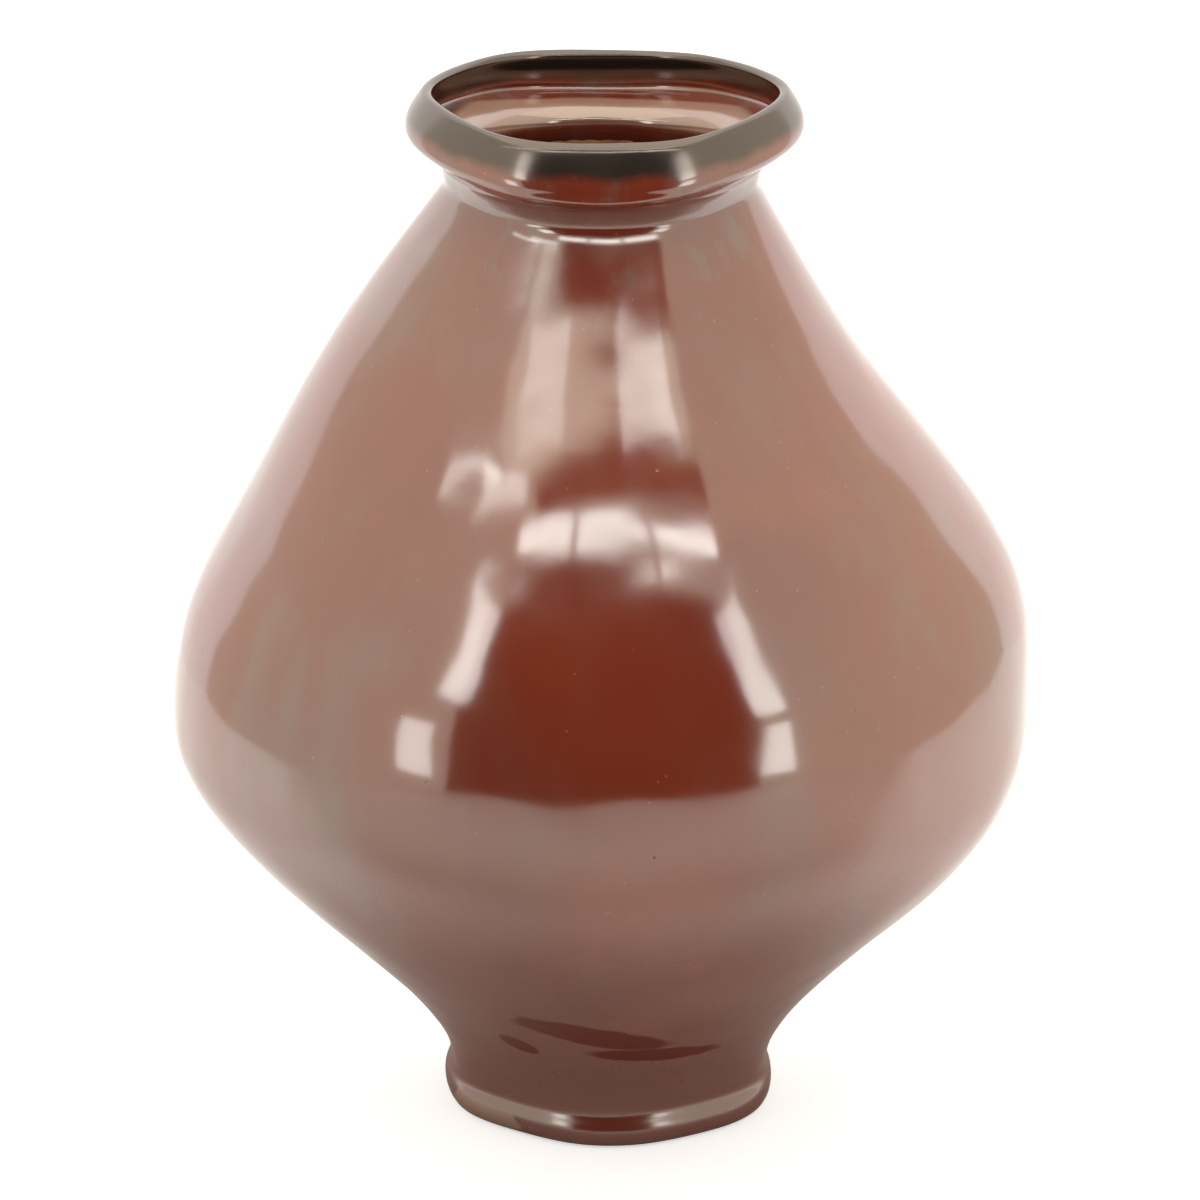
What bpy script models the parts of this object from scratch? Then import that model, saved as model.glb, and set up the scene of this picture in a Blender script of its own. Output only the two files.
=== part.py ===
"""An earthenware vase with a cupped mouth, in metres, +Z up, standing on its foot ring at Z = 0.

It is built as a potter builds it: sections thrown round on the wheel, luted together with rings of slip,
and then eased out of true by hand. The camera's side of the vase faces -Y.
"""

import math

import bmesh
import bpy
from mathutils import Vector
from mathutils.geometry import interpolate_bezier

# Foot ring
FOOT_RADIUS = 0.0642
FOOT_HEIGHT = 0.0158
FOOT_WIDTH = 0.0125
FOOT_EDGE_ROUND = 0.0048
FOOT_INNER_ROUND = 0.0018

# Body
WAIST_RADIUS = 0.0618
BELLY_RADIUS = 0.1629
BELLY_HEIGHT = 0.1559
SHOULDER_HEIGHT = 0.3655
WALL = 0.0065
FLOOR = 0.009
SHOULDER_SLOPE = 0.612
WAIST_SWEEP = 0.287
HIP_FULLNESS = 0.356
BELLY_FULLNESS = 0.31
SHOULDER_SWEEP = 0.728

# Neck ring
NECK_RADIUS = 0.0575
NECK_HEIGHT = 0.009
NECK_WALL = 0.006
CREASE = 0.0007

# Mouth rim
RIM_OVERHANG = 0.0164
RIM_HEIGHT = 0.0265
RIM_WIDEST = 0.012
RIM_WALL = 0.0062
LIP_INSET = 0.0075
LIP_THICKNESS = 0.0036
UNDERSIDE_SWEEP = 0.0058
EDGE_SWEEP = 0.0062
BAND_SWEEP = 0.004
BAND_LEAN = 0.5
LIP_ROLL = 25
CUP_UNDERCUT = 0.0018
FUNNEL_SWEEP = 0.008

# Luting: a ring of slip, its clearance above and below, and how far it stays back from the faces of the wall
SLIP = 0.0008
GAP = 0.0003
SLIP_SETBACK = 0.0006

# Easing by hand: six soft facets at the foot and at the rim, a thumb press on the foot's left front,
# a wave and a tilt in the lip, a wave in the rim's edge, how far the foot was shifted to +X, and how far
# the two sides were pushed over at each height, to +X except at the shoulder, which went to -X
FOOT_FACET = 0.018
FOOT_PRESS = 0.045
FOOT_PRESS_ANGLE = -140
FOOT_PRESS_TIGHTNESS = 6
RIM_FACET = 0.016
LIP_WAVE = 0.0014
LIP_TILT = 0.0007
RIM_EDGE_WAVE = 0.0021
FOOT_LEAN = 0.0028
HIP_LEAN = 0.0052
HAUNCH_LEAN = 0.0042
SHOULDER_LEAN_BACK = 0.0046
NECK_LEAN = 0.0005
RIM_LEAN = 0.0021
HIP_SHARE = 0.62
HAUNCH_SHARE = 0.33
SHOULDER_SHARE = 0.74
FACETS = 6

# Fineness of the turned surfaces
SEGMENTS = 48
BODY_STEPS = 13
RIM_STEPS = 7
ROUND_STEPS = 4
SHARP_ANGLE = 40

# Places that follow from the sizes above
SEAT = SLIP / 2 + GAP
WAIST_HEIGHT = FOOT_HEIGHT
NECK_TOP = SHOULDER_HEIGHT + NECK_HEIGHT
LIP_TOP = NECK_TOP + RIM_HEIGHT
NECK_BASE_RADIUS = NECK_RADIUS + CREASE
RIM_RADIUS = NECK_RADIUS + RIM_OVERHANG
LIP_RADIUS = RIM_RADIUS - LIP_INSET
THROAT_RADIUS = NECK_RADIUS - NECK_WALL
FOOT_HOLLOW_RADIUS = FOOT_RADIUS - FOOT_WIDTH


def curve(start, start_handle, end_handle, end, steps):
    """Points (radius, height) along one Bezier stretch of a profile, both ends included."""
    knots = [Vector((radius, height, 0)) for radius, height in (start, start_handle, end_handle, end)]
    return [(point.x, point.y) for point in interpolate_bezier(*knots, steps + 1)]


def arc(centre, radius, first, last, steps):
    """Points on a round edge, from one angle to another in degrees, both ends included."""
    turn = [math.radians(first + (last - first) * step / steps) for step in range(steps + 1)]
    return [(centre[0] + radius * math.cos(a), centre[1] + radius * math.sin(a)) for a in turn]


def inside(profile, wall):
    """The inner face of a wall: each point of an upward outer profile moved in along its normal."""
    moved = []
    for index, (radius, height) in enumerate(profile):
        before = profile[max(index - 1, 0)]
        after = profile[min(index + 1, len(profile) - 1)]
        run = math.hypot(after[0] - before[0], after[1] - before[1])
        across = (after[1] - before[1]) / run
        along = (after[0] - before[0]) / run
        moved.append((radius - wall * across, height + wall * along))
    return moved


def cut(profile, lowest, highest):
    """The stretch of an upward profile between two heights, with its ends exactly on them."""
    def radius_at(height):
        for (r0, z0), (r1, z1) in zip(profile, profile[1:]):
            if z0 <= height <= z1:
                return r0 + (r1 - r0) * (height - z0) / (z1 - z0)
        return profile[0][0] if height < profile[0][1] else profile[-1][0]

    middle = [point for point in profile if lowest + SLIP < point[1] < highest - SLIP]
    return [(radius_at(lowest), lowest)] + middle + [(radius_at(highest), highest)]


def eased(value):
    """A smooth rise from 0 to 1."""
    value = min(max(value, 0.0), 1.0)
    return value * value * (3 - 2 * value)


def lean(height):
    """How far the sides of the vase have been pushed over to +X at a height."""
    shoulder = SHOULDER_HEIGHT - BELLY_HEIGHT
    places = (
        (0.0, FOOT_LEAN),
        (WAIST_HEIGHT + HIP_SHARE * (BELLY_HEIGHT - WAIST_HEIGHT), HIP_LEAN),
        (BELLY_HEIGHT, 0.0),
        (BELLY_HEIGHT + HAUNCH_SHARE * shoulder, HAUNCH_LEAN),
        (BELLY_HEIGHT + SHOULDER_SHARE * shoulder, -SHOULDER_LEAN_BACK),
        (SHOULDER_HEIGHT, NECK_LEAN),
        (LIP_TOP, RIM_LEAN),
    )
    for (z0, lean0), (z1, lean1) in zip(places, places[1:]):
        if height <= z1:
            return lean0 + (lean1 - lean0) * eased((height - z0) / (z1 - z0))
    return RIM_LEAN


def by_hand(point):
    """Where a point of the round thrown vase ends up once the clay has been eased by hand."""
    angle = math.atan2(point.y, point.x)
    radius = math.hypot(point.x, point.y)
    foot_share = 1 - eased(point.z / ((WAIST_HEIGHT + BELLY_HEIGHT) / 2))
    rim_share = eased((point.z - SHOULDER_HEIGHT) / (LIP_TOP - SHOULDER_HEIGHT))
    facet = (RIM_FACET * rim_share - FOOT_FACET * foot_share) * math.cos(FACETS * angle)
    facing = max(0.0, math.cos(angle - math.radians(FOOT_PRESS_ANGLE)))
    press = FOOT_PRESS * foot_share * facing**FOOT_PRESS_TIGHTNESS
    up_rim = min(max((point.z - NECK_TOP) / RIM_HEIGHT, 0.0), 1.0)
    wave = rim_share * LIP_WAVE + 4 * up_rim * (1 - up_rim) * RIM_EDGE_WAVE
    lift = wave * math.cos(2 * angle) - rim_share * LIP_TILT * math.sin(angle)
    radius *= 1 + facet - press
    shift = FOOT_LEAN * foot_share
    push = (lean(point.z) - shift) * math.cos(angle)**2
    return Vector((radius * math.cos(angle) + shift + push, radius * math.sin(angle), point.z + lift))


def clay(name, colour, roughness):
    """A plain finish for one section."""
    material = bpy.data.materials.new(name)
    material.use_nodes = True
    shader = material.node_tree.nodes["Principled BSDF"]
    shader.inputs["Base Color"].default_value = (*colour, 1)
    shader.inputs["Roughness"].default_value = roughness
    shader.inputs["Metallic"].default_value = 0
    return material


def thrown(name, profile, finish):
    """One section: a closed profile (or one that ends on the axis) turned on the wheel, then eased by hand."""
    shape = bmesh.new()
    points = [shape.verts.new((radius, 0, height)) for radius, height in profile]
    pairs = list(zip(points, points[1:]))
    if profile[0][0] > 0:
        pairs.append((points[-1], points[0]))
    edges = [shape.edges.new(pair) for pair in pairs]
    bmesh.ops.spin(
        shape,
        geom=points + edges,
        cent=(0, 0, 0),
        axis=(0, 0, 1),
        angle=math.tau,
        steps=SEGMENTS,
        use_merge=True,
    )
    bmesh.ops.remove_doubles(shape, verts=shape.verts, dist=1e-6)
    for vertex in shape.verts:
        vertex.co = by_hand(vertex.co)
    bmesh.ops.recalc_face_normals(shape, faces=shape.faces)
    mesh = bpy.data.meshes.new(name)
    shape.to_mesh(mesh)
    shape.free()
    mesh.shade_smooth()
    mesh.set_sharp_from_angle(angle=math.radians(SHARP_ANGLE))
    mesh.materials.append(finish)
    section = bpy.data.objects.new(name, mesh)
    bpy.context.scene.collection.objects.link(section)
    return section


def slip_ring(name, height, outer, inner, finish):
    """A ring of slip centred on a joint, a little back from both faces of the wall."""
    low = height - SLIP / 2
    high = height + SLIP / 2
    out = outer - SLIP_SETBACK
    back = inner + SLIP_SETBACK
    return thrown(name, [(back, low), (out, low), (out, high), (back, high)], finish)


def body_outline():
    """The outer profile from the waist to the belly, and from the belly to the top of the shoulder."""
    rise = BELLY_HEIGHT - WAIST_HEIGHT
    fall = SHOULDER_HEIGHT - BELLY_HEIGHT
    sweep = SHOULDER_SWEEP * fall
    lower = curve(
        (WAIST_RADIUS, WAIST_HEIGHT),
        (WAIST_RADIUS, WAIST_HEIGHT + WAIST_SWEEP * rise),
        (BELLY_RADIUS, BELLY_HEIGHT - HIP_FULLNESS * rise),
        (BELLY_RADIUS, BELLY_HEIGHT),
        BODY_STEPS,
    )
    upper = curve(
        (BELLY_RADIUS, BELLY_HEIGHT),
        (BELLY_RADIUS, BELLY_HEIGHT + BELLY_FULLNESS * fall),
        (NECK_BASE_RADIUS + SHOULDER_SLOPE * sweep, SHOULDER_HEIGHT - sweep),
        (NECK_BASE_RADIUS, SHOULDER_HEIGHT),
        BODY_STEPS,
    )
    return lower, upper


def foot_ring(finish):
    """The turned foot: a flare from the waist to a rounded edge, a flat face to stand on, a hollow middle."""
    top = FOOT_HEIGHT - SEAT
    reach = (top - FOOT_EDGE_ROUND) / 2
    flare = curve(
        (WAIST_RADIUS, top),
        (WAIST_RADIUS, top - reach),
        (FOOT_RADIUS, FOOT_EDGE_ROUND + reach),
        (FOOT_RADIUS, FOOT_EDGE_ROUND),
        RIM_STEPS,
    )
    outer_centre = (FOOT_RADIUS - FOOT_EDGE_ROUND, FOOT_EDGE_ROUND)
    inner_centre = (FOOT_HOLLOW_RADIUS + FOOT_INNER_ROUND, FOOT_INNER_ROUND)
    edge = arc(outer_centre, FOOT_EDGE_ROUND, 0, -90, ROUND_STEPS)
    inner_edge = arc(inner_centre, FOOT_INNER_ROUND, -90, -180, ROUND_STEPS - 1)
    return thrown("foot_ring", flare + edge[1:] + inner_edge + [(FOOT_HOLLOW_RADIUS, top)], finish)


def lower_body(outline, finish):
    """The thrown bowl: floor, waist and hip, up to the belly joint."""
    underside = FOOT_HEIGHT + SEAT
    floor_top = underside + FLOOR
    rim = BELLY_HEIGHT - SEAT
    outer = cut(outline, underside, rim)
    inner = [point for point in inside(outline, WALL) if floor_top + WALL < point[1] < rim - SLIP]
    wall_top = (outer[-1][0] - WALL, rim)
    floor_edge = (inner[0][0] - WALL, floor_top)
    profile = [(0, underside)] + outer + [wall_top] + inner[::-1] + [floor_edge, (0, floor_top)]
    return thrown("lower_body", profile, finish)


def upper_body(outline, finish):
    """The thrown dome: belly and shoulder, from the belly joint to the neck joint."""
    bottom = BELLY_HEIGHT + SEAT
    top = SHOULDER_HEIGHT - SEAT
    outer = cut(outline, bottom, top)
    inner = [point for point in inside(outline, WALL) if bottom + SLIP < point[1] < top - WALL]
    throat = (THROAT_RADIUS, top)
    wall_bottom = (outer[0][0] - WALL, bottom)
    return thrown("upper_body", outer + [throat] + inner[::-1] + [wall_bottom], finish)


def neck_ring(finish):
    """The short upright ring on top of the shoulder."""
    bottom = SHOULDER_HEIGHT + SEAT
    top = NECK_TOP - SEAT
    third = (top - bottom) / 3
    outer = curve(
        (NECK_BASE_RADIUS, bottom),
        (NECK_RADIUS, bottom + third),
        (NECK_RADIUS, top - third),
        (NECK_RADIUS, top),
        ROUND_STEPS,
    )
    return thrown("neck_ring", outer + [(THROAT_RADIUS, top), (THROAT_RADIUS, bottom)], finish)


def mouth_rim(finish):
    """The cupped rim: an ogee underside, a band leaning in to a thin lip, and a funnel floor to the throat."""
    bottom = NECK_TOP + SEAT
    widest = NECK_TOP + RIM_WIDEST
    lip_round = LIP_THICKNESS / 2
    lip_centre = (LIP_RADIUS, LIP_TOP - lip_round)
    lip = arc(lip_centre, lip_round, LIP_ROLL, 180, ROUND_STEPS + 1)
    cup_radius = RIM_RADIUS - RIM_WALL
    cup_height = widest + CUP_UNDERCUT
    underside = curve(
        (NECK_RADIUS, bottom),
        (NECK_RADIUS, bottom + UNDERSIDE_SWEEP),
        (RIM_RADIUS, widest - EDGE_SWEEP),
        (RIM_RADIUS, widest),
        RIM_STEPS + 2,
    )
    band_end = lip[0]
    band = curve(
        (RIM_RADIUS, widest),
        (RIM_RADIUS, widest + BAND_SWEEP),
        (band_end[0] + BAND_SWEEP * BAND_LEAN, band_end[1] - BAND_SWEEP),
        band_end,
        RIM_STEPS - 2,
    )
    wall = curve(
        lip[-1],
        (lip[-1][0], lip[-1][1] - BAND_SWEEP),
        (cup_radius, cup_height + BAND_SWEEP),
        (cup_radius, cup_height),
        RIM_STEPS - 3,
    )
    funnel = curve(
        (cup_radius, cup_height),
        (cup_radius, cup_height - BAND_SWEEP),
        (THROAT_RADIUS, bottom + FUNNEL_SWEEP),
        (THROAT_RADIUS, bottom),
        RIM_STEPS,
    )
    return thrown("mouth_rim", underside + band[1:] + lip[1:] + wall[1:] + funnel[1:], finish)


for leftover in list(bpy.data.objects):
    bpy.data.objects.remove(leftover, do_unlink=True)

red_brown = clay("red_brown_glaze", (0.15, 0.027, 0.012), 0.12)
dark_lustre = clay("dark_lustre_glaze", (0.03, 0.018, 0.012), 0.1)
buff_slip = clay("fired_slip", (0.42, 0.2, 0.1), 0.8)

lower_outline, upper_outline = body_outline()
foot_ring(clay("foot_glaze", (0.12, 0.03, 0.017), 0.15))
slip_ring("foot_slip", FOOT_HEIGHT, WAIST_RADIUS, FOOT_HOLLOW_RADIUS, buff_slip.copy())
lower_body(lower_outline, red_brown)
slip_ring("belly_slip", BELLY_HEIGHT, BELLY_RADIUS, BELLY_RADIUS - WALL, buff_slip.copy())
upper_body(upper_outline, red_brown.copy())
slip_ring("neck_slip", SHOULDER_HEIGHT, NECK_BASE_RADIUS, THROAT_RADIUS, buff_slip.copy())
neck_ring(clay("neck_glaze", (0.1, 0.03, 0.018), 0.15))
slip_ring("rim_slip", NECK_TOP, NECK_RADIUS, THROAT_RADIUS, buff_slip)
mouth_rim(dark_lustre)
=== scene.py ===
import math

import bmesh
import bpy
from mathutils import Euler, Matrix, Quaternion, Vector


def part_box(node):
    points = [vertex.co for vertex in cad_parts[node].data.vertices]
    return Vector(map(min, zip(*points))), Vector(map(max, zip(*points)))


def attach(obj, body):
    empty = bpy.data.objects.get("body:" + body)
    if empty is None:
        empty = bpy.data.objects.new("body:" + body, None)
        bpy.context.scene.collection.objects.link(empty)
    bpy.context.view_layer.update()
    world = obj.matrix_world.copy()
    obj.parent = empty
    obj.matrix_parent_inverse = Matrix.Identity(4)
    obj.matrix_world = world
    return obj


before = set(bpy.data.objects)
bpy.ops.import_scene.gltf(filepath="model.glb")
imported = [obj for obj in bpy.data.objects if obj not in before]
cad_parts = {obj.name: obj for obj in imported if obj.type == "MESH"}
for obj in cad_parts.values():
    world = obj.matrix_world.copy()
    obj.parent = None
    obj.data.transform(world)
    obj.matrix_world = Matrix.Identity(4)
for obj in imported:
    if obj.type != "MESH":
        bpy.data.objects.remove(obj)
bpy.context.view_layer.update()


# The clay: foot ring, bowl, dome, neck ring and cupped rim, thrown one by one in a red earthenware.
# Each is turned when leather hard and luted to the next, then fired. The glaze covers them all,
# so the bare clay shows only where the vase stands and in the hollow under the foot.
CLAY_SECTIONS = ("foot_ring", "lower_body", "upper_body", "neck_ring", "mouth_rim")
CLAY_DARK = (0.26, 0.1, 0.05, 1)
CLAY_BUFF = (0.5, 0.26, 0.14, 1)
CLAY_CLOUDS_PER_METRE = 30
CLAY_CLOUD_EDGES = (0.35, 0.65)
GRIT_PER_METRE = 900
GRIT_HARSHNESS = 0.7
GRIT_ROUGHNESS = 0.2
CLAY_ROUGHNESS = 0.72
GROG_PALE = (0.66, 0.45, 0.3, 1)
GROG_PER_METRE = 420
GROG_EDGES = (0.34, 0.22)
GROG_PICKED = (0.72, 0.76)
GROG_SHARE = 0.7
GROG_STANDS = 0.5
CLAY_RELIEF = 0.0004
CLAY_RELIEF_STRENGTH = 0.35


def put(tree, kind, settings, *values):
    """Adds one node: settings are its own options, values are (socket, number, colour or link) pairs."""
    made = tree.nodes.new(kind)
    for option, choice in settings.items():
        setattr(made, option, choice)
    for socket, value in values:
        if isinstance(value, bpy.types.NodeSocket):
            tree.links.new(value, made.inputs[socket])
        else:
            made.inputs[socket].default_value = value
    return made


def blended(tree, share, first, second):
    """A colour between two others; a Mix node's colours are its inputs 6 and 7 and its output 2."""
    colours = (0, share), (6, first), (7, second)
    return put(tree, "ShaderNodeMix", {"data_type": "RGBA"}, *colours).outputs[2]


def between(tree, value, low, high):
    """A smooth rise from 0 at low to 1 at high, or a fall from 1 to 0 where low is the larger."""
    values = [("Value", value), ("From Min", low), ("From Max", high)]
    if low > high:
        values = [("Value", value), ("From Min", high), ("From Max", low), ("To Min", 1), ("To Max", 0)]
    return put(tree, "ShaderNodeMapRange", {"interpolation_type": "SMOOTHSTEP"}, *values).outputs["Result"]


def sums(tree, how, first, second=0.0, third=0.0):
    """One step of arithmetic."""
    return put(tree, "ShaderNodeMath", {"operation": how}, (0, first), (1, second), (2, third)).outputs[0]


def laid(tree, share, most, under, over):
    """One colour laid over another where share says, up to most of it."""
    return blended(tree, sums(tree, "MULTIPLY", share, most), under, over)


def grain(tree, place, per_metre, detail, harshness=0.55):
    """Soft noise from 0 to 1."""
    values = [("Vector", place), ("Scale", per_metre), ("Detail", detail), ("Roughness", harshness)]
    return put(tree, "ShaderNodeTexNoise", {}, *values).outputs["Fac"]


def spots(tree, place, per_metre, edges, picked):
    """Scattered round spots, 1 in the middle and 0 outside, in the cells that are picked."""
    cells = put(tree, "ShaderNodeTexVoronoi", {}, ("Vector", place), ("Scale", per_metre))
    own = put(tree, "ShaderNodeSeparateColor", {}, (0, cells.outputs["Color"]))
    return sums(
        tree, "MULTIPLY",
        between(tree, cells.outputs["Distance"], *edges),
        between(tree, own.outputs[0], *picked),
    )


fired_clay = bpy.data.materials.new("fired_clay")
fired_clay.use_nodes = True
tree = fired_clay.node_tree
shader = tree.nodes["Principled BSDF"]
place = put(tree, "ShaderNodeTexCoord", {}).outputs["Object"]
cloud = between(tree, grain(tree, place, CLAY_CLOUDS_PER_METRE, detail=4), *CLAY_CLOUD_EDGES)
grit = grain(tree, place, GRIT_PER_METRE, detail=3, harshness=GRIT_HARSHNESS)
grog = spots(tree, place, GROG_PER_METRE, GROG_EDGES, GROG_PICKED)
colour = blended(tree, cloud, CLAY_DARK, CLAY_BUFF)
colour = laid(tree, grog, GROG_SHARE, colour, GROG_PALE)
tree.links.new(colour, shader.inputs["Base Color"])
rough = sums(tree, "MULTIPLY_ADD", grit, GRIT_ROUGHNESS, CLAY_ROUGHNESS)
tree.links.new(rough, shader.inputs["Roughness"])
height = sums(tree, "MULTIPLY_ADD", grog, GROG_STANDS, grit)
relief = [("Strength", CLAY_RELIEF_STRENGTH), ("Distance", CLAY_RELIEF), ("Height", height)]
tree.links.new(put(tree, "ShaderNodeBump", {}, *relief).outputs[0], shader.inputs["Normal"])
for name in CLAY_SECTIONS:
    for material_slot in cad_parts[name].material_slots:
        material_slot.material = fired_clay


# The luting: a ring of slip, clay let down with water, in each of the four joints between the sections.
# It is brushed on before the sections are pressed together, and fires smoother and paler than they do.
SLIP_RINGS = ("foot_slip", "belly_slip", "neck_slip", "rim_slip")
SLIP_PALE = (0.52, 0.29, 0.17, 1)
SLIP_DEEP = (0.36, 0.17, 0.085, 1)
SLIP_BRUSHING_PER_METRE = 70
SLIP_BRUSHING_EDGES = (0.3, 0.7)
SLIP_BRUSHING_ROUGHNESS = 0.25
SLIP_ROUGHNESS = 0.62
SLIP_RELIEF = 0.0003
SLIP_RELIEF_STRENGTH = 0.2

fired_slip = bpy.data.materials.new("fired_slip")
fired_slip.use_nodes = True
tree = fired_slip.node_tree
shader = tree.nodes["Principled BSDF"]
place = put(tree, "ShaderNodeTexCoord", {}).outputs["Object"]
brushing = grain(tree, place, SLIP_BRUSHING_PER_METRE, detail=5)
colour = blended(tree, between(tree, brushing, *SLIP_BRUSHING_EDGES), SLIP_DEEP, SLIP_PALE)
tree.links.new(colour, shader.inputs["Base Color"])
rough = sums(tree, "MULTIPLY_ADD", brushing, SLIP_BRUSHING_ROUGHNESS, SLIP_ROUGHNESS)
tree.links.new(rough, shader.inputs["Roughness"])
relief = [("Strength", SLIP_RELIEF_STRENGTH), ("Distance", SLIP_RELIEF), ("Height", brushing)]
tree.links.new(put(tree, "ShaderNodeBump", {}, *relief).outputs[0], shader.inputs["Normal"])
for name in SLIP_RINGS:
    for material_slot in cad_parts[name].material_slots:
        material_slot.material = fired_slip


# The glaze: one glassy coat over the outside, the cup and the inside, closed over the joints by the firing.
# It is an iron-red lustre glaze, poured and dipped, that runs gunmetal black along the lip, pools in the
# hollows and stops just above the edge that the vase stands on.
BITE = 0.00015
COAT_ON_EDGES = 0.0004
COAT_ON_BODY = 0.0008
BODY_FROM = 0.03
BODY_TO = 0.35
MERGE = 0.00001
QUAD_ANGLE = math.radians(60)
LEVEL_FACE = 0.95
JOINT_REACH = 0.0013
JOINT_WELD = 0.002
BARE_EDGE = 0.0012
FOOT_HOLLOW_INSET = 0.004
OPEN_EDGES = {
    "extend": False,
    "use_wire": False,
    "use_multi_face": False,
    "use_non_contiguous": False,
    "use_verts": False,
}
ROUNDING_LEVELS = 2
HAND_MARKS = 0.0008
HAND_MARK_SIZE = 0.04
HAND_MARK_REST = 0.2

foot_low, foot_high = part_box("foot_ring")
foot_middle = (foot_low + foot_high) / 2
slip_low, slip_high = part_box("foot_slip")
foot_hollow = (slip_high.x - slip_low.x) / 2 - FOOT_HOLLOW_INSET
joints = [(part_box(ring)[0].z - JOINT_REACH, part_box(ring)[1].z + JOINT_REACH) for ring in SLIP_RINGS]

bpy.ops.object.select_all(action="DESELECT")
for name in CLAY_SECTIONS:
    coat = bpy.data.objects.new("coat_on_" + name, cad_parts[name].data.copy())
    bpy.context.scene.collection.objects.link(coat)
    coat.select_set(True)
    bpy.context.view_layer.objects.active = coat
bpy.ops.object.join()
lustre_glaze = bpy.context.active_object
lustre_glaze.name = "lustre_glaze"
bpy.ops.mesh.customdata_custom_splitnormals_clear()
bpy.ops.object.shade_smooth()
bpy.ops.object.mode_set(mode="EDIT")
bpy.ops.mesh.select_mode(type="VERT")
bpy.ops.mesh.select_all(action="SELECT")
bpy.ops.mesh.remove_doubles(threshold=MERGE)
bpy.ops.mesh.tris_convert_to_quads(face_threshold=QUAD_ANGLE, shape_threshold=QUAD_ANGLE)
bpy.ops.mesh.select_all(action="DESELECT")
shape = bmesh.from_edit_mesh(lustre_glaze.data)
for face in shape.faces:
    middle = face.calc_center_median()
    at_joint = abs(face.normal.z) > LEVEL_FACE and any(low < middle.z < high for low, high in joints)
    from_axis = math.hypot(middle.x - foot_middle.x, middle.y - foot_middle.y)
    under_foot = middle.z < BARE_EDGE or (middle.z < foot_high.z and from_axis < foot_hollow)
    face.select_set(at_joint or under_foot)
bmesh.update_edit_mesh(lustre_glaze.data)
bpy.ops.mesh.delete(type="FACE")
bpy.ops.mesh.select_non_manifold(**OPEN_EDGES)
bpy.ops.mesh.remove_doubles(threshold=JOINT_WELD)
bpy.ops.object.mode_set(mode="OBJECT")

glaze_back = bpy.data.objects.new("glaze_back", lustre_glaze.data.copy())
bpy.context.scene.collection.objects.link(glaze_back)

bpy.ops.object.mode_set(mode="EDIT")
bpy.ops.mesh.select_all(action="SELECT")
bpy.ops.transform.shrink_fatten(value=COAT_ON_EDGES)
bpy.ops.mesh.select_all(action="DESELECT")
shape = bmesh.from_edit_mesh(lustre_glaze.data)
for vertex in shape.verts:
    vertex.select_set(BODY_FROM < vertex.co.z < BODY_TO)
shape.select_flush_mode()
bmesh.update_edit_mesh(lustre_glaze.data)
bpy.ops.transform.shrink_fatten(value=COAT_ON_BODY)
bpy.ops.object.mode_set(mode="OBJECT")

rounding = lustre_glaze.modifiers.new("rounding", "SUBSURF")
rounding.levels = ROUNDING_LEVELS
rounding.render_levels = ROUNDING_LEVELS
bpy.ops.object.modifier_apply(modifier=rounding.name)
hand_texture = bpy.data.textures.new("hand_marks", "CLOUDS")
hand_texture.noise_scale = HAND_MARK_SIZE
hand_texture.noise_depth = 1
hand_marks = lustre_glaze.modifiers.new("hand_marks", "DISPLACE")
hand_marks.texture = hand_texture
hand_marks.texture_coords = "LOCAL"
hand_marks.strength = HAND_MARKS
hand_marks.mid_level = HAND_MARK_REST
bpy.ops.object.modifier_apply(modifier=hand_marks.name)

SWELL = 0.0043
SWELL_FROM = 0.19
SWELL_TOP = 0.2755
SWELL_TO = 0.345
RIM_SWELL = 0.0009
RIM_SWELL_FROM = 0.386
RIM_SWELL_TOP = 0.3985
RIM_SWELL_TO = 0.4018
NECK_FLARE = 0.007
NECK_FLARE_BESIDE = 0.003
NECK_LOW = 0.3655
NECK_HIGH = 0.376
RIM_UNDER = 0.384
FRONT_SPREAD = math.radians(10)
FRONT_FADE = math.radians(75)


def eased(value, start, end):
    """A smooth rise from 0 at start to 1 at end."""
    share = min(max((value - start) / (end - start), 0.0), 1.0)
    return share * share * (3 - 2 * share)


def turned_away(place):
    """0 at the front of the vase, 1 at its sides and back."""
    return eased(abs(math.atan2(place.x, -place.y)), FRONT_SPREAD, FRONT_FADE)


def swelling(place):
    """How far the front of the shoulder and of the rim swell out; the sides and the back stay as they are."""
    shoulder = eased(place.z, SWELL_FROM, SWELL_TOP) * (1 - eased(place.z, SWELL_TOP, SWELL_TO))
    rim = eased(place.z, RIM_SWELL_FROM, RIM_SWELL_TOP) * (1 - eased(place.z, RIM_SWELL_TOP, RIM_SWELL_TO))
    return (SWELL * shoulder + RIM_SWELL * rim) * (1 - turned_away(place))


def flaring(place):
    """How far the neck is drawn out under the rim, most at the front and less round the rest."""
    most = NECK_FLARE + (NECK_FLARE_BESIDE - NECK_FLARE) * turned_away(place)
    up_neck = min(max((place.z - NECK_LOW) / (NECK_HIGH - NECK_LOW), 0.0), 1.0)
    return most * up_neck * (1 - eased(place.z, NECK_HIGH, RIM_UNDER))


moved = []
for vertex in lustre_glaze.data.vertices:
    outward = Vector((vertex.co.x, vertex.co.y, 0)).normalized()
    under_rim = vertex.normal.z < 0 and vertex.co.z > NECK_HIGH
    if outward.dot(vertex.normal) > 0 or under_rim:
        moved.append((vertex, vertex.normal * swelling(vertex.co) + outward * flaring(vertex.co)))
for vertex, step in moved:
    vertex.co += step
lustre_glaze.data.update()

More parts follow.
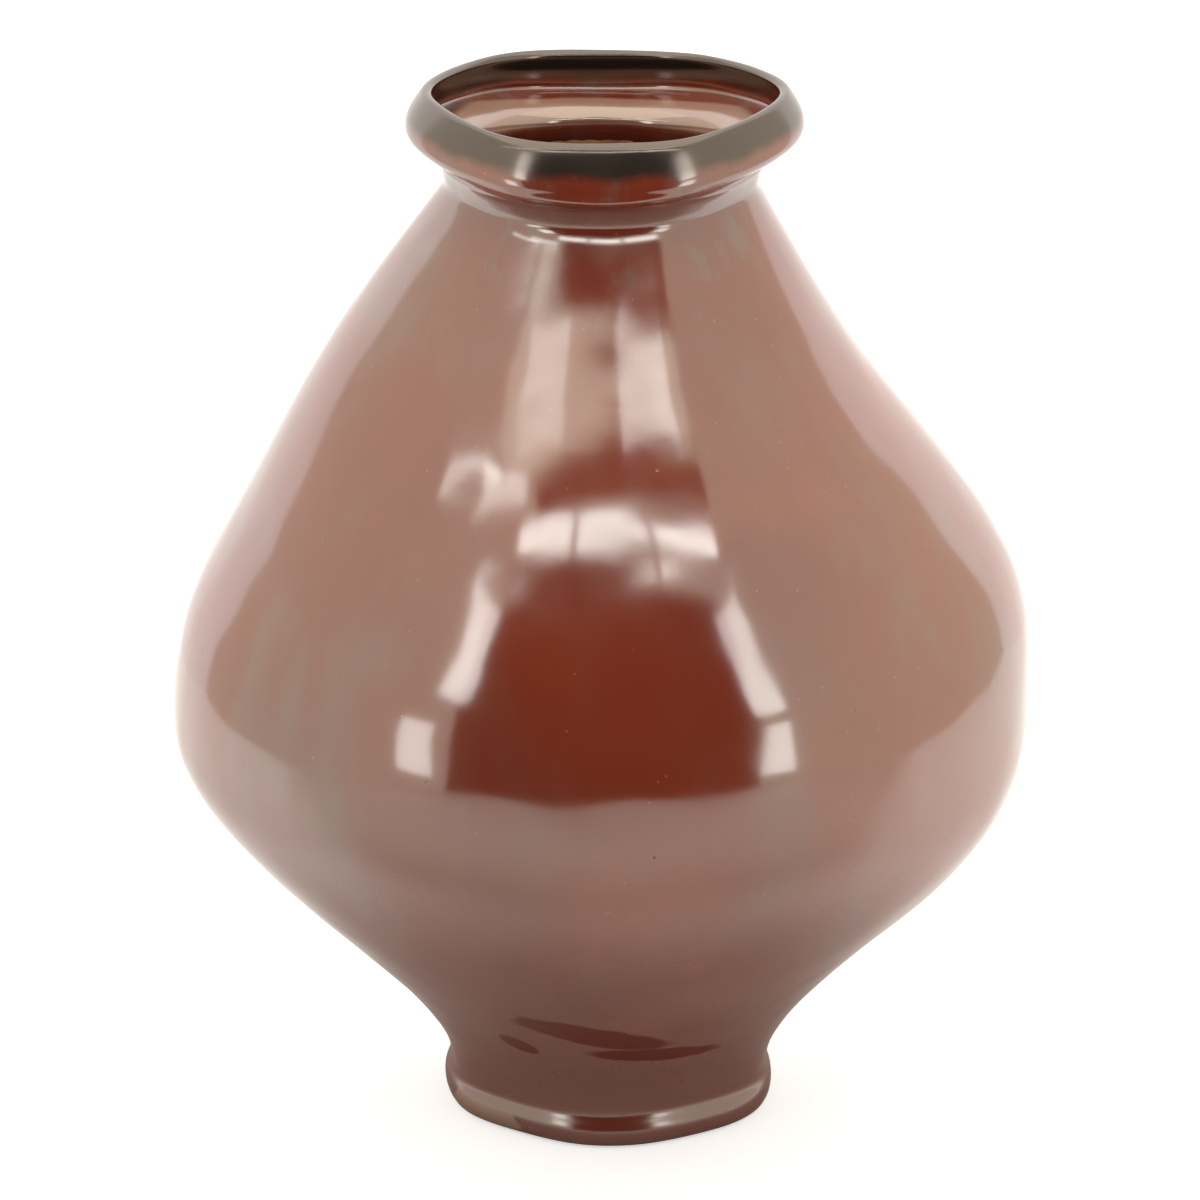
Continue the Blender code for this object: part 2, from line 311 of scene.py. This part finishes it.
bpy.ops.object.select_all(action="DESELECT")
glaze_back.select_set(True)
bpy.context.view_layer.objects.active = glaze_back
bpy.ops.object.mode_set(mode="EDIT")
bpy.ops.mesh.select_all(action="SELECT")
bpy.ops.transform.shrink_fatten(value=-BITE)
bpy.ops.mesh.flip_normals()
bpy.ops.object.mode_set(mode="OBJECT")
lustre_glaze.select_set(True)
bpy.context.view_layer.objects.active = lustre_glaze
bpy.ops.object.join()
bpy.ops.object.mode_set(mode="EDIT")
bpy.ops.mesh.select_mode(type="EDGE")
bpy.ops.mesh.select_non_manifold(**OPEN_EDGES)
bpy.ops.mesh.bridge_edge_loops()
bpy.ops.object.mode_set(mode="OBJECT")
bpy.ops.object.shade_smooth()

IRON_RED = (0.225, 0.033, 0.011, 1)
DEEP_RED = (0.18, 0.024, 0.009, 1)
RED_CLOUDS_PER_METRE = 7
RED_CLOUD_EDGES = (0.35, 0.65)
WARM_RED = (0.3, 0.06, 0.02, 1)
WARM_CLOUDS_PER_METRE = 12
WARM_CLOUD_EDGES = (0.5, 0.75)
WARM_SHARE = 0.6
WARM_FLANK_PER_METRE = 15
WARM_FLANK_WANDER = 0.05
WARM_FLANK_EDGES = (0.08, 0.15)
DEEP_FLANK_EDGES = (-0.04, -0.1)
DEEP_FLANK_SHARE = 0.7
GREY_RUN = (0.18, 0.14, 0.115, 1)
WASH_DRAWN = (1, 1, 0.3)
WASHES_PER_METRE = 26
WASH_EDGES = (0.42, 0.74)
WASH_SHARE = 0.12
WASH_SHARE_BESIDE = 0.3
BESIDE_EDGES = (0.03, 0.09)
RUN_DRAWN = (1, 1, 0.12)
RUNS_PER_METRE = 70
RUN_EDGES = (0.5, 0.72)
RUN_HEIGHTS = (0.3, 0.362)
RUN_SHARE = 0.5
FOOT_BROWN = (0.18, 0.03, 0.013, 1)
FOOT_WANDER = 0.02
FOOT_HEIGHTS = (0.07, 0.02)
# painted shade: a darker brown for the neck's undercut just under the rim, where the rim keeps the light off
# it
NECK_PAINTED_SHADE = (0.09, 0.024, 0.013, 1)
NECK_PAINTED_SHADE_BELOW = (0.366, 0.368)
NECK_PAINTED_SHADE_ABOVE = (0.379, 0.375)
NECK_PAINTED_SHADE_SHARE = 0.5
ORANGE_FLECK = (0.42, 0.14, 0.04, 1)
FLECKS_PER_METRE = 330
FLECK_EDGES = (0.22, 0.1)
FLECK_PICKED = (0.955, 0.97)
FLECK_SHARE = 0.5
GUNMETAL = (0.018, 0.012, 0.009, 1)
GUNMETAL_HEIGHTS = (0.3865, 0.392)
GUNMETAL_WANDER = 0.006
GUNMETAL_LIFT = 0.7
# painted reflection: a pale pinkish veil laid on the floor of the cup
CUP_PAINTED_REFLECTION = (0.46, 0.29, 0.23, 1)
CUP_LEAN = 0.46
CUP_EDGES = (-0.1141, -0.1156)
CUP_FLOOR_BELOW = (0.3735, 0.3775)
CUP_FLOOR_ABOVE = (0.3875, 0.3855)
CUP_PAINTED_REFLECTION_SHARE = 0.65
# painted shade: the gunmetal of the lip carried further down the inner wall of the cup
CUP_WALL_HEIGHTS = (0.3855, 0.3885)
CUP_WALL_SHADE_SHARE = 0.7
PINHOLES_PER_METRE = 95
PINHOLE_EDGES = (0.06, 0.03)
PINHOLE_PICKED = (0.86, 0.87)
WORN_EDGE = (0.3, 0.15, 0.09, 1)
WORN_PLACE = (-0.046, -0.038, 0.004)
WORN_PER_METRE = 160
WORN_WANDER = 0.02
WORN_EDGES = (0.03, 0.026)
WORN_HEIGHTS = (0.0095, 0.0085)
WORN_SHARE = 0.8
# painted reflection: the dark red streaks at the waist stand in for a dark reflection in the glaze
STREAK_PAINTED_REFLECTION_RED = (0.085, 0.003, 0.001, 1)
STREAKS = (
    # middle, half length, half height, tilt in degrees
    ((-0.003, -0.084, 0.0555), 0.034, 0.0062, 15),
    ((-0.031, -0.068, 0.045), 0.009, 0.0034, 24),
    ((0.02, -0.068, 0.0425), 0.028, 0.004, 6),
)
STREAK_DEPTH = 0.03
STREAK_RAGS_PER_METRE = 90
STREAK_WANDER = 0.5
STREAK_EDGES = (1.3, 1.05)
PITS = ((-0.1498, -0.0488, 0.1965), (0.1505, -0.0574, 0.2004), (0, -0.0708, 0.3914))
PIT_EDGES = (0.0016, 0.0008)
LUSTRE_INDEX = 2.4
LUSTRE_TINT = (1, 1, 1, 1)
STREAK_TINT = (0.9, 0.25, 0.15, 1)
GUNMETAL_TINT = (0.86, 0.74, 0.68, 1)
GLAZE_ROUGHNESS = 0.065
UNEVEN_PER_METRE = 40
UNEVEN_ROUGHNESS = 0.1
FOOT_ROUGHNESS = 0.06
GUNMETAL_ROUGHNESS = 0.05
WORN_ROUGHNESS = 0.3
RIPPLES_PER_METRE = 220
RIPPLE_HEIGHT = 0.05
POOLS_PER_METRE = 30
POOL_HEIGHT = 3.5
GLAZE_RELIEF = 0.0004
GLAZE_RELIEF_STRENGTH = 0.3


def drawn_out(tree, place, scale):
    """Places squeezed along an axis, so that a pattern on them is drawn out along it."""
    return put(tree, "ShaderNodeMapping", {}, ("Vector", place), ("Scale", scale)).outputs[0]


def away_from(tree, place, middle):
    """How far a place lies from a point."""
    ends = (0, place), (1, middle)
    return put(tree, "ShaderNodeVectorMath", {"operation": "DISTANCE"}, *ends).outputs["Value"]


def length_of(tree, vector):
    """The length of a vector."""
    return put(tree, "ShaderNodeVectorMath", {"operation": "LENGTH"}, (0, vector)).outputs["Value"]


lustre_finish = bpy.data.materials.new("iron_red_lustre")
lustre_finish.use_nodes = True
tree = lustre_finish.node_tree
shader = tree.nodes["Principled BSDF"]
place = put(tree, "ShaderNodeTexCoord", {}).outputs["Object"]
axes = put(tree, "ShaderNodeSeparateXYZ", {}, (0, place)).outputs
across = axes["X"]
up = axes["Z"]
runs = grain(tree, drawn_out(tree, place, RUN_DRAWN), RUNS_PER_METRE, detail=4)

# the red, deeper and warmer in clouds, warmer on the right flank and deeper on the left
clouds = between(tree, grain(tree, place, RED_CLOUDS_PER_METRE, detail=2), *RED_CLOUD_EDGES)
colour = blended(tree, clouds, DEEP_RED, IRON_RED)
warm_clouds = between(tree, grain(tree, place, WARM_CLOUDS_PER_METRE, detail=3), *WARM_CLOUD_EDGES)
colour = laid(tree, warm_clouds, WARM_SHARE, colour, WARM_RED)
flank_noise = grain(tree, place, WARM_FLANK_PER_METRE, detail=3)
warm_flank = between(
    tree, sums(tree, "MULTIPLY_ADD", flank_noise, WARM_FLANK_WANDER, across), *WARM_FLANK_EDGES
)
colour = laid(tree, warm_flank, WARM_SHARE, colour, WARM_RED)
colour = laid(tree, between(tree, across, *DEEP_FLANK_EDGES), DEEP_FLANK_SHARE, colour, DEEP_RED)

# grey washes down the body, stronger beside the middle, and finer runs below the neck
wash_noise = grain(tree, drawn_out(tree, place, WASH_DRAWN), WASHES_PER_METRE, detail=2)
beside = between(tree, sums(tree, "ABSOLUTE", across), *BESIDE_EDGES)
wash_share = sums(tree, "MULTIPLY_ADD", beside, WASH_SHARE_BESIDE, WASH_SHARE)
colour = laid(tree, between(tree, wash_noise, *WASH_EDGES), wash_share, colour, GREY_RUN)
foot_share = between(tree, sums(tree, "MULTIPLY_ADD", runs, FOOT_WANDER, up), *FOOT_HEIGHTS)
colour = blended(tree, foot_share, colour, FOOT_BROWN)
neck_runs = sums(tree, "MULTIPLY", between(tree, up, *RUN_HEIGHTS), between(tree, runs, *RUN_EDGES))
colour = laid(tree, neck_runs, RUN_SHARE, colour, GREY_RUN)
# painted shade: the neck darker brown just under the rim, where the rim keeps the light off it
undercut_painted_shade = sums(
    tree, "MULTIPLY", between(tree, up, *NECK_PAINTED_SHADE_BELOW), between(tree, up, *NECK_PAINTED_SHADE_ABOVE)
)
colour = laid(tree, undercut_painted_shade, NECK_PAINTED_SHADE_SHARE, colour, NECK_PAINTED_SHADE)
flecks = spots(tree, place, FLECKS_PER_METRE, FLECK_EDGES, FLECK_PICKED)
colour = laid(tree, flecks, FLECK_SHARE, colour, ORANGE_FLECK)

# gunmetal along the rim, its ragged lower edge rising towards the sides, and a painted reflection that makes
# the floor of the cup paler
ragged = sums(tree, "MULTIPLY_ADD", runs, GUNMETAL_WANDER, sums(tree, "SUBTRACT", up, GUNMETAL_WANDER / 2))
ragged = sums(tree, "MULTIPLY_ADD", sums(tree, "MULTIPLY", across, across), -GUNMETAL_LIFT, ragged)
gunmetal_share = between(tree, ragged, *GUNMETAL_HEIGHTS)
colour = blended(tree, gunmetal_share, colour, GUNMETAL)
flat = put(tree, "ShaderNodeCombineXYZ", {}, ("X", across), ("Y", axes["Y"])).outputs[0]
to_cup = sums(tree, "MULTIPLY_ADD", up, -CUP_LEAN, length_of(tree, flat))
inside = between(tree, to_cup, *CUP_EDGES)
# painted reflection: the floor of the cup made paler, like the glaze's mirror of the bright tent
cup_floor_painted_reflection = sums(tree, "MULTIPLY", inside, between(tree, up, *CUP_FLOOR_BELOW))
cup_floor_painted_reflection = sums(tree, "MULTIPLY", cup_floor_painted_reflection, between(tree, up, *CUP_FLOOR_ABOVE))
colour = laid(tree, cup_floor_painted_reflection, CUP_PAINTED_REFLECTION_SHARE, colour, CUP_PAINTED_REFLECTION)
# painted shade: the inner wall of the cup darkened with gunmetal, where it faces the dark room and little
# light reaches it
cup_wall_painted_shade = sums(tree, "MULTIPLY", inside, between(tree, up, *CUP_WALL_HEIGHTS))
colour = laid(tree, cup_wall_painted_shade, CUP_WALL_SHADE_SHARE, colour, GUNMETAL)

# pinholes, the worn edge of the foot, three streaks of painted dark reflection at the waist and three pits
pinholes = spots(tree, place, PINHOLES_PER_METRE, PINHOLE_EDGES, PINHOLE_PICKED)
colour = blended(tree, pinholes, colour, GUNMETAL)
wear_noise = grain(tree, place, WORN_PER_METRE, detail=4)
frayed = sums(tree, "MULTIPLY_ADD", wear_noise, WORN_WANDER, away_from(tree, place, WORN_PLACE))
worn = sums(tree, "MULTIPLY", between(tree, frayed, *WORN_EDGES), between(tree, up, *WORN_HEIGHTS))
colour = laid(tree, worn, WORN_SHARE, colour, WORN_EDGE)
# painted reflection: dark red streaks at the waist, where the glaze mirrors something dark
painted_reflection_streaks = 0.0
rags = grain(tree, place, STREAK_RAGS_PER_METRE, detail=3)
for middle, length, thickness, tilt in STREAKS:
    along = put(
        tree, "ShaderNodeMapping", {"vector_type": "TEXTURE"},
        ("Vector", place),
        ("Location", middle),
        ("Rotation", (0, math.radians(tilt), 0)),
        ("Scale", (length, STREAK_DEPTH, thickness)),
    ).outputs[0]
    out = sums(tree, "MULTIPLY_ADD", rags, STREAK_WANDER, length_of(tree, along))
    painted_reflection_streaks = sums(tree, "MAXIMUM", between(tree, out, *STREAK_EDGES), painted_reflection_streaks)
colour = blended(tree, painted_reflection_streaks, colour, STREAK_PAINTED_REFLECTION_RED)
for middle in PITS:
    colour = blended(tree, between(tree, away_from(tree, place, middle), *PIT_EDGES), colour, GUNMETAL)
tree.links.new(colour, shader.inputs["Base Color"])

# the lustre: what it tints in reflections, how glossy it is, and its ripples and soft pools
tint = blended(tree, painted_reflection_streaks, LUSTRE_TINT, STREAK_TINT)
tint = blended(tree, gunmetal_share, tint, GUNMETAL_TINT)
tree.links.new(tint, shader.inputs["Specular Tint"])
shader.inputs["IOR"].default_value = LUSTRE_INDEX
uneven = grain(tree, place, UNEVEN_PER_METRE, detail=3)
rough = sums(tree, "MULTIPLY_ADD", uneven, UNEVEN_ROUGHNESS, GLAZE_ROUGHNESS)
rough = sums(tree, "MULTIPLY_ADD", foot_share, FOOT_ROUGHNESS, rough)
rough = sums(tree, "MULTIPLY_ADD", gunmetal_share, GUNMETAL_ROUGHNESS, rough)
rough = sums(tree, "MULTIPLY_ADD", worn, WORN_ROUGHNESS, rough)
tree.links.new(rough, shader.inputs["Roughness"])
ripples = grain(tree, place, RIPPLES_PER_METRE, detail=2)
ripple = sums(tree, "MULTIPLY_ADD", ripples, RIPPLE_HEIGHT, sums(tree, "MULTIPLY", pinholes, -1.0))
pools = grain(tree, place, POOLS_PER_METRE, detail=1)
ripple = sums(tree, "MULTIPLY_ADD", pools, POOL_HEIGHT, ripple)
relief = [("Strength", GLAZE_RELIEF_STRENGTH), ("Distance", GLAZE_RELIEF), ("Height", ripple)]
tree.links.new(put(tree, "ShaderNodeBump", {}, *relief).outputs[0], shader.inputs["Normal"])

lustre_glaze.data.materials.clear()
lustre_glaze.data.materials.append(lustre_finish)
for polygon in lustre_glaze.data.polygons:
    polygon.material_index = 0
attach(lustre_glaze, "root")


# The floor: a seamless white sheet under the vase that takes its soft shadow.
# It glows white to the camera; in the glaze it mirrors with a painted shadow, greyer near the foot, and a
# painted glow, brighter behind the vase.
FLOOR_RADIUS = 7.0
FLOOR_SIDES = 96
FLOOR_LEVEL = -0.0002
SHEET_WHITE = (0.8, 0.8, 0.8, 1)
SHEET_SHADED = (0.58, 0.57, 0.56, 1)
SHEET_ROUGHNESS = 0.9
SHADE_EDGES = (0.6, 0.1)
GLOW_WHITE = (1, 1, 1, 1)
FLOOR_GLOW = 0.6
GLOW_BEHIND = 0.5
BEHIND_EDGES = (-0.25, -0.05)
BEHIND_FROM_FOOT = (0.08, 0.25)

bpy.ops.object.select_all(action="DESELECT")
bpy.ops.mesh.primitive_circle_add(
    vertices=FLOOR_SIDES, radius=FLOOR_RADIUS, fill_type="NGON", location=(0, 0, FLOOR_LEVEL)
)
white_floor = bpy.context.active_object
white_floor.name = "white_floor"
floor_paper = bpy.data.materials.new("floor_paper")
floor_paper.use_nodes = True
tree = floor_paper.node_tree
shader = tree.nodes["Principled BSDF"]
place = put(tree, "ShaderNodeTexCoord", {}).outputs["Object"]
from_foot = length_of(tree, place)
rays = put(tree, "ShaderNodeLightPath", {}).outputs
unseen = sums(tree, "SUBTRACT", 1.0, rays["Is Camera Ray"])
# painted shadow: to all but camera rays the sheet is greyer near the foot
shade = sums(tree, "MULTIPLY", between(tree, from_foot, *SHADE_EDGES), unseen)
tree.links.new(blended(tree, shade, SHEET_WHITE, SHEET_SHADED), shader.inputs["Base Color"])
shader.inputs["Roughness"].default_value = SHEET_ROUGHNESS
shader.inputs["Specular IOR Level"].default_value = 0.0
shader.inputs["Emission Color"].default_value = GLOW_WHITE
# painted glow: to glossy rays the sheet is brighter beside and behind the vase, off the foot
away = put(tree, "ShaderNodeSeparateXYZ", {}, (0, place)).outputs["Y"]
off_foot = between(tree, from_foot, *BEHIND_FROM_FOOT)
behind = sums(tree, "MULTIPLY", between(tree, away, *BEHIND_EDGES), off_foot)
behind = sums(tree, "MULTIPLY", sums(tree, "MULTIPLY", behind, GLOW_BEHIND), rays["Is Glossy Ray"])
glow = sums(tree, "MULTIPLY_ADD", rays["Is Camera Ray"], FLOOR_GLOW, behind)
tree.links.new(glow, shader.inputs["Emission Strength"])
white_floor.data.materials.append(floor_paper)


# The light tent: white cloth walls and ceiling round the vase, open at the front towards the dark room.
# Its walls glow evenly; the camera looks in through the front and doesn't see the cloth itself.
TENT_LEFT = -0.92
TENT_RIGHT = 0.84
TENT_FRONT = -1.0
TENT_BACK = 0.6
TENT_TOP = 1.55
TENT_HEM = 0.0005
OPEN_LEFT = -0.78
OPEN_TOP = 1.045
CLOTH_WARM = (1.0, 0.95, 0.78, 1)
CLOTH_WHITE = (1.0, 0.97, 0.92, 1)
SIDE_GLOW = 1.0
CEILING_GLOW = 1.9
BACK_GLOW = 1.5
UNLIT_GLOW = 0.03
FACING = 0.5

bpy.ops.object.select_all(action="DESELECT")
bpy.ops.mesh.primitive_cube_add(size=1)
light_tent = bpy.context.active_object
light_tent.name = "light_tent"
tent_middle = ((TENT_LEFT + TENT_RIGHT) / 2, (TENT_FRONT + TENT_BACK) / 2, TENT_TOP / 2 + TENT_HEM)
bpy.ops.transform.resize(value=(TENT_RIGHT - TENT_LEFT, TENT_BACK - TENT_FRONT, TENT_TOP))
bpy.ops.transform.translate(value=tent_middle)
bpy.ops.object.transform_apply(location=True, rotation=True, scale=True)
bpy.ops.object.mode_set(mode="EDIT")
bpy.ops.mesh.select_all(action="SELECT")
bpy.ops.mesh.bisect(plane_co=(OPEN_LEFT, 0, 0), plane_no=(1, 0, 0))
bpy.ops.mesh.select_all(action="SELECT")
bpy.ops.mesh.bisect(plane_co=(0, 0, OPEN_TOP), plane_no=(0, 0, 1))
bpy.ops.mesh.select_all(action="DESELECT")
shape = bmesh.from_edit_mesh(light_tent.data)
for face in shape.faces:
    face.select_set(face.normal.z < -FACING)
bmesh.update_edit_mesh(light_tent.data)
bpy.ops.mesh.delete(type="FACE")
bpy.ops.object.mode_set(mode="OBJECT")


def cloth(name, colour, strength):
    """Lit cloth of an even brightness."""
    material = bpy.data.materials.new(name)
    material.use_nodes = True
    material.node_tree.nodes.clear()
    glow = put(material.node_tree, "ShaderNodeEmission", {}, ("Color", colour), ("Strength", strength))
    end = put(material.node_tree, "ShaderNodeOutputMaterial", {})
    material.node_tree.links.new(glow.outputs[0], end.inputs["Surface"])
    return material


light_tent.data.materials.append(cloth("side_cloth", CLOTH_WARM, SIDE_GLOW))
light_tent.data.materials.append(cloth("ceiling_cloth", CLOTH_WARM, CEILING_GLOW))
light_tent.data.materials.append(cloth("back_cloth", CLOTH_WHITE, BACK_GLOW))
light_tent.data.materials.append(cloth("dark_room", CLOTH_WHITE, UNLIT_GLOW))
for polygon in light_tent.data.polygons:
    at_front = polygon.normal.y < -FACING
    if polygon.normal.z > FACING:
        polygon.material_index = 1
    elif polygon.normal.y > FACING:
        polygon.material_index = 2
    elif at_front and polygon.center.x > OPEN_LEFT and polygon.center.z < OPEN_TOP:
        polygon.material_index = 3
light_tent.visible_camera = False


# The lamps: soft panes, all hung at one distance from the vase's shoulder and aimed at it. Three in a row
# make a bar over the tent's opening, two hang above it, two at each side and two more at the left corner.
# A black card hangs behind the upper two, so that they and the bar read apart in the glaze.
SHOULDER = Vector((0, -0.1, 0.29))
HANG = 1.05
PANE_WHITE = (1.0, 0.99, 0.95)
PANES = (
    # name, turn from the front and rise in degrees, roll in degrees, width, height, brightness
    ("bar_left", -22.5, 40.9, 9, 0.34, 0.064, 4.6),
    ("bar_middle", 5.5, 42.6, 0, 0.366, 0.068, 4.6),
    ("bar_right", 34.2, 40.4, -11, 0.36, 0.068, 4.6),
    ("roof_left", -36.6, 53.9, 17, 0.3, 0.065, 1.45),
    ("roof_right", 30.0, 54.5, -13, 0.36, 0.08, 2.1),
    ("corner_top", -47.3, 43.2, 19, 0.3, 0.084, 2.3),
    ("left_high", -42.1, 23.4, -4, 0.175, 0.365, 3.3),
    ("left_low", -51.4, -2.5, 2, 0.18, 0.29, 2.4),
    ("right_high", 46.0, 19.5, 8, 0.18, 0.4, 2.8),
    ("right_low", 48.7, -3.7, -4, 0.18, 0.29, 2.6),
    ("neck_left", -63.0, 40.2, 28, 0.32, 0.045, 2.3),
)
CARD_TURN = 10.5
CARD_RISE = 51.1
CARD_ROLL = -2
CARD_WIDTH = 1.1
CARD_HEIGHT = 0.157
CARD_BEHIND = 0.01


def hung(turn, rise, roll, far):
    """The place and bearing of something hung round the shoulder and facing it."""
    towards = Vector((0, -1, 0))
    towards.rotate(Euler((-math.radians(rise), 0, math.radians(turn)), "XYZ"))
    facing = towards.to_track_quat("Z", "Y") @ Quaternion((0, 0, 1), math.radians(roll))
    return SHOULDER + far * towards, facing.to_euler()


for name, turn, rise, roll, width, height, brightness in PANES:
    lamp = bpy.data.lights.new(name, "AREA")
    lamp.shape = "RECTANGLE"
    lamp.size = width
    lamp.size_y = height
    lamp.energy = brightness * math.pi * width * height
    lamp.color = PANE_WHITE
    pane = bpy.data.objects.new(name, lamp)
    bpy.context.scene.collection.objects.link(pane)
    pane.location, pane.rotation_euler = hung(turn, rise, roll, HANG)
    pane.visible_camera = False

card_place, card_bearing = hung(CARD_TURN, CARD_RISE, CARD_ROLL, HANG + CARD_BEHIND)
bpy.ops.object.select_all(action="DESELECT")
bpy.ops.mesh.primitive_plane_add(size=1, location=card_place, rotation=card_bearing)
black_card = bpy.context.active_object
black_card.name = "black_card"
black_card.scale = (CARD_WIDTH, CARD_HEIGHT, 1)
black_card.data.materials.append(cloth("black_paper", CLOTH_WHITE, UNLIT_GLOW))
black_card.visible_camera = False

world = bpy.data.worlds.new("white_studio")
world.use_nodes = True
bpy.context.scene.world = world
world.node_tree.nodes["Background"].inputs["Color"].default_value = (1, 1, 1, 1)
world.node_tree.nodes["Background"].inputs["Strength"].default_value = 1.0


# The camera: on the front side, a little above the vase, with a long lens.
# It looks down at the angle that the ellipses of the mouth and the foot show.
CAMERA_BACK = 3.2
CAMERA_PITCH = math.radians(19.5)
AIM_HEIGHT = 0.2
LENS = 266.7
SENSOR = 36.0

camera = bpy.data.objects.new("camera", bpy.data.cameras.new("camera"))
camera.data.lens = LENS
camera.data.sensor_width = SENSOR
camera.location = (0, -CAMERA_BACK, AIM_HEIGHT + CAMERA_BACK * math.tan(CAMERA_PITCH))
camera.rotation_euler = (math.radians(90) - CAMERA_PITCH, 0, 0)
bpy.context.scene.collection.objects.link(camera)
bpy.context.scene.camera = camera
bpy.context.scene.view_settings.view_transform = "Standard"
